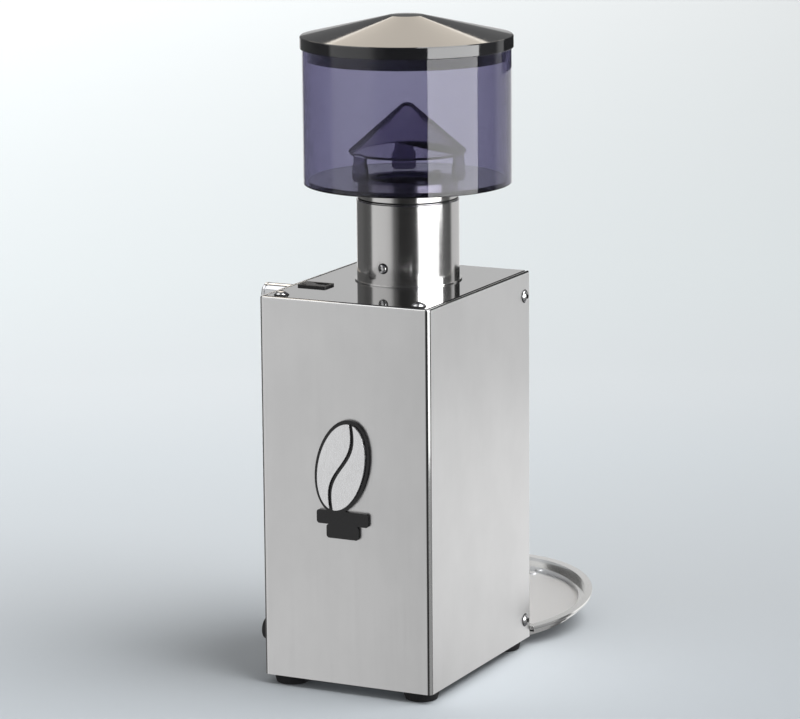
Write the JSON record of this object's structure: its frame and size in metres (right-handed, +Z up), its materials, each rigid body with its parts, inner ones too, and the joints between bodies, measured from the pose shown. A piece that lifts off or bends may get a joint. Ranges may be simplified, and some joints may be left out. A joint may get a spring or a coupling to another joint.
{
  "type": "coffee grinder",
  "caption": "Electric on-demand coffee grinder: steel case, neck, clear bean hopper with cone guard and lid, flat burrs with worm adjuster, motor, spout, fork and drip tray",
  "frame": {"origin": "on the table, under the middle of the case's footprint", "axes": "+Z up, the front with spout and tray faces -Y, +X is the side with the adjusting knob"},
  "size_m": [0.1632, 0.2802, 0.4277],
  "materials": {
    "brushed_stainless": "brushed stainless sheet",
    "polished_stainless": "polished stainless",
    "plated_steel": "zinc plated steel",
    "tool_steel": "ground tool steel",
    "laminations": "stacked electrical steel",
    "cast_aluminium": "die cast aluminium",
    "brass": "machined brass",
    "copper_winding": "varnished copper wire",
    "black_rubber": "moulded rubber",
    "black_plastic": "moulded black plastic",
    "gloss_black_plastic": "glossy black plastic",
    "smoked_clear": "smoke violet clear acrylic",
    "smoked_dark": "dark smoke acrylic",
    "white_plastic": "moulded white plastic",
    "green_board": "printed circuit board"
  },
  "bodies": {
    "case": {"casing_wrap": "brushed_stainless", "front_panel": "brushed_stainless", "top_plate": "polished_stainless", "base_plate": "plated_steel", "plate_brackets": "plated_steel", "rubber_feet": "black_rubber", "foot_screws": "plated_steel", "side_screws": "polished_stainless", "top_screws": "polished_stainless", "neck_tube": "brushed_stainless", "neck_screw": "polished_stainless", "bean_funnel": "black_plastic", "switch_housing": "gloss_black_plastic", "worm_bushes": "brass", "worm_bracket": "plated_steel", "ring_retainer": "cast_aluminium", "chamber_cap": "cast_aluminium", "chamber_bolts": "plated_steel", "carrier_spring": "tool_steel", "chamber_body": "cast_aluminium", "stator_core": "laminations", "stator_windings": "copper_winding", "motor_shields": "cast_aluminium", "bearing_outer_rings": "tool_steel", "bearing_balls": "tool_steel", "tie_bolts": "plated_steel", "motor_mounts": "black_rubber", "run_capacitor": "white_plastic", "relay_board": "green_board", "cord_gland": "black_plastic", "button_switch": "black_plastic", "spout": "black_plastic", "filter_fork": "brushed_stainless", "front_screws": "polished_stainless", "badge_plate": "gloss_black_plastic", "badge_bean": "polished_stainless"},
    "hopper": {"hopper_collar": "brushed_stainless", "hopper_floor": "smoked_clear", "hopper_tube": "smoked_clear", "floor_screws": "polished_stainless", "bean_guard": "smoked_dark"},
    "lid": {"hopper_lid": "gloss_black_plastic"},
    "rocker": {"switch_rocker": "gloss_black_plastic"},
    "adjuster_worm": {"adjusting_knob": "polished_stainless", "worm_shaft": "tool_steel", "worm": "brass"},
    "adjuster_ring": {"adjusting_ring": "brass"},
    "burr_holder": {"upper_carrier": "cast_aluminium", "upper_burr": "tool_steel", "burr_screws_upper": "plated_steel"},
    "spindle": {"motor_shaft": "tool_steel", "rotor_core": "laminations", "lower_carrier": "cast_aluminium", "lower_burr": "tool_steel", "burr_screws_lower": "plated_steel", "shaft_bolt": "plated_steel", "motor_fan": "black_plastic", "bearing_inner_rings": "tool_steel"},
    "button": {"dose_button": "gloss_black_plastic"},
    "drip_tray": {"tray": "brushed_stainless"}
  },
  "joints": [
    {"name": "hopper_lift", "type": "slide", "parent": "case", "child": "hopper", "axis": [0, 0, 1], "range_m": [0, 0.07]},
    {"name": "lid_lift", "type": "slide", "parent": "hopper", "child": "lid", "axis": [0, 0, 1], "range_m": [0, 0.06]},
    {"name": "rocker_tip", "type": "hinge", "parent": "case", "child": "rocker", "pos_m": [0.0432, 0.0296, 0.2543], "axis": [0, 1, 0], "range_deg": [0, 10]},
    {"name": "ring_turn", "type": "hinge", "parent": "case", "child": "adjuster_ring", "pos_m": [0, -0.0177, 0.2462], "axis": [0, 0, 1], "range_deg": [-30, 120]},
    {"name": "worm_turn", "type": "hinge", "parent": "case", "child": "adjuster_worm", "pos_m": [0, 0.02, 0.2462], "axis": [1, 0, 0], "range_deg": [-1200, 4800]},
    {"name": "burr_travel", "type": "slide", "parent": "case", "child": "burr_holder", "axis": [0, 0, 1], "range_m": [-0.000125, 0.0005], "deforming": ["carrier_spring"]},
    {"name": "spindle_spin", "type": "hinge", "parent": "case", "child": "spindle", "pos_m": [0, -0.0177, 0.12], "axis": [0, 0, 1], "continuous": true},
    {"name": "button_press", "type": "slide", "parent": "case", "child": "button", "axis": [0, 1, 0], "range_m": [0, 0.003], "stiffness_N_per_m": 300, "springref_m": -0.002},
    {"name": "tray_lift", "type": "slide", "parent": "case", "child": "drip_tray", "axis": [0, 0, 1], "range_m": [0, 0.04]}
  ],
  "couplings": [
    {"joint": "worm_turn", "follows": "ring_turn", "ratio": 40},
    {"joint": "burr_travel", "follows": "ring_turn", "m_per_rad": 0.00023873}
  ]
}
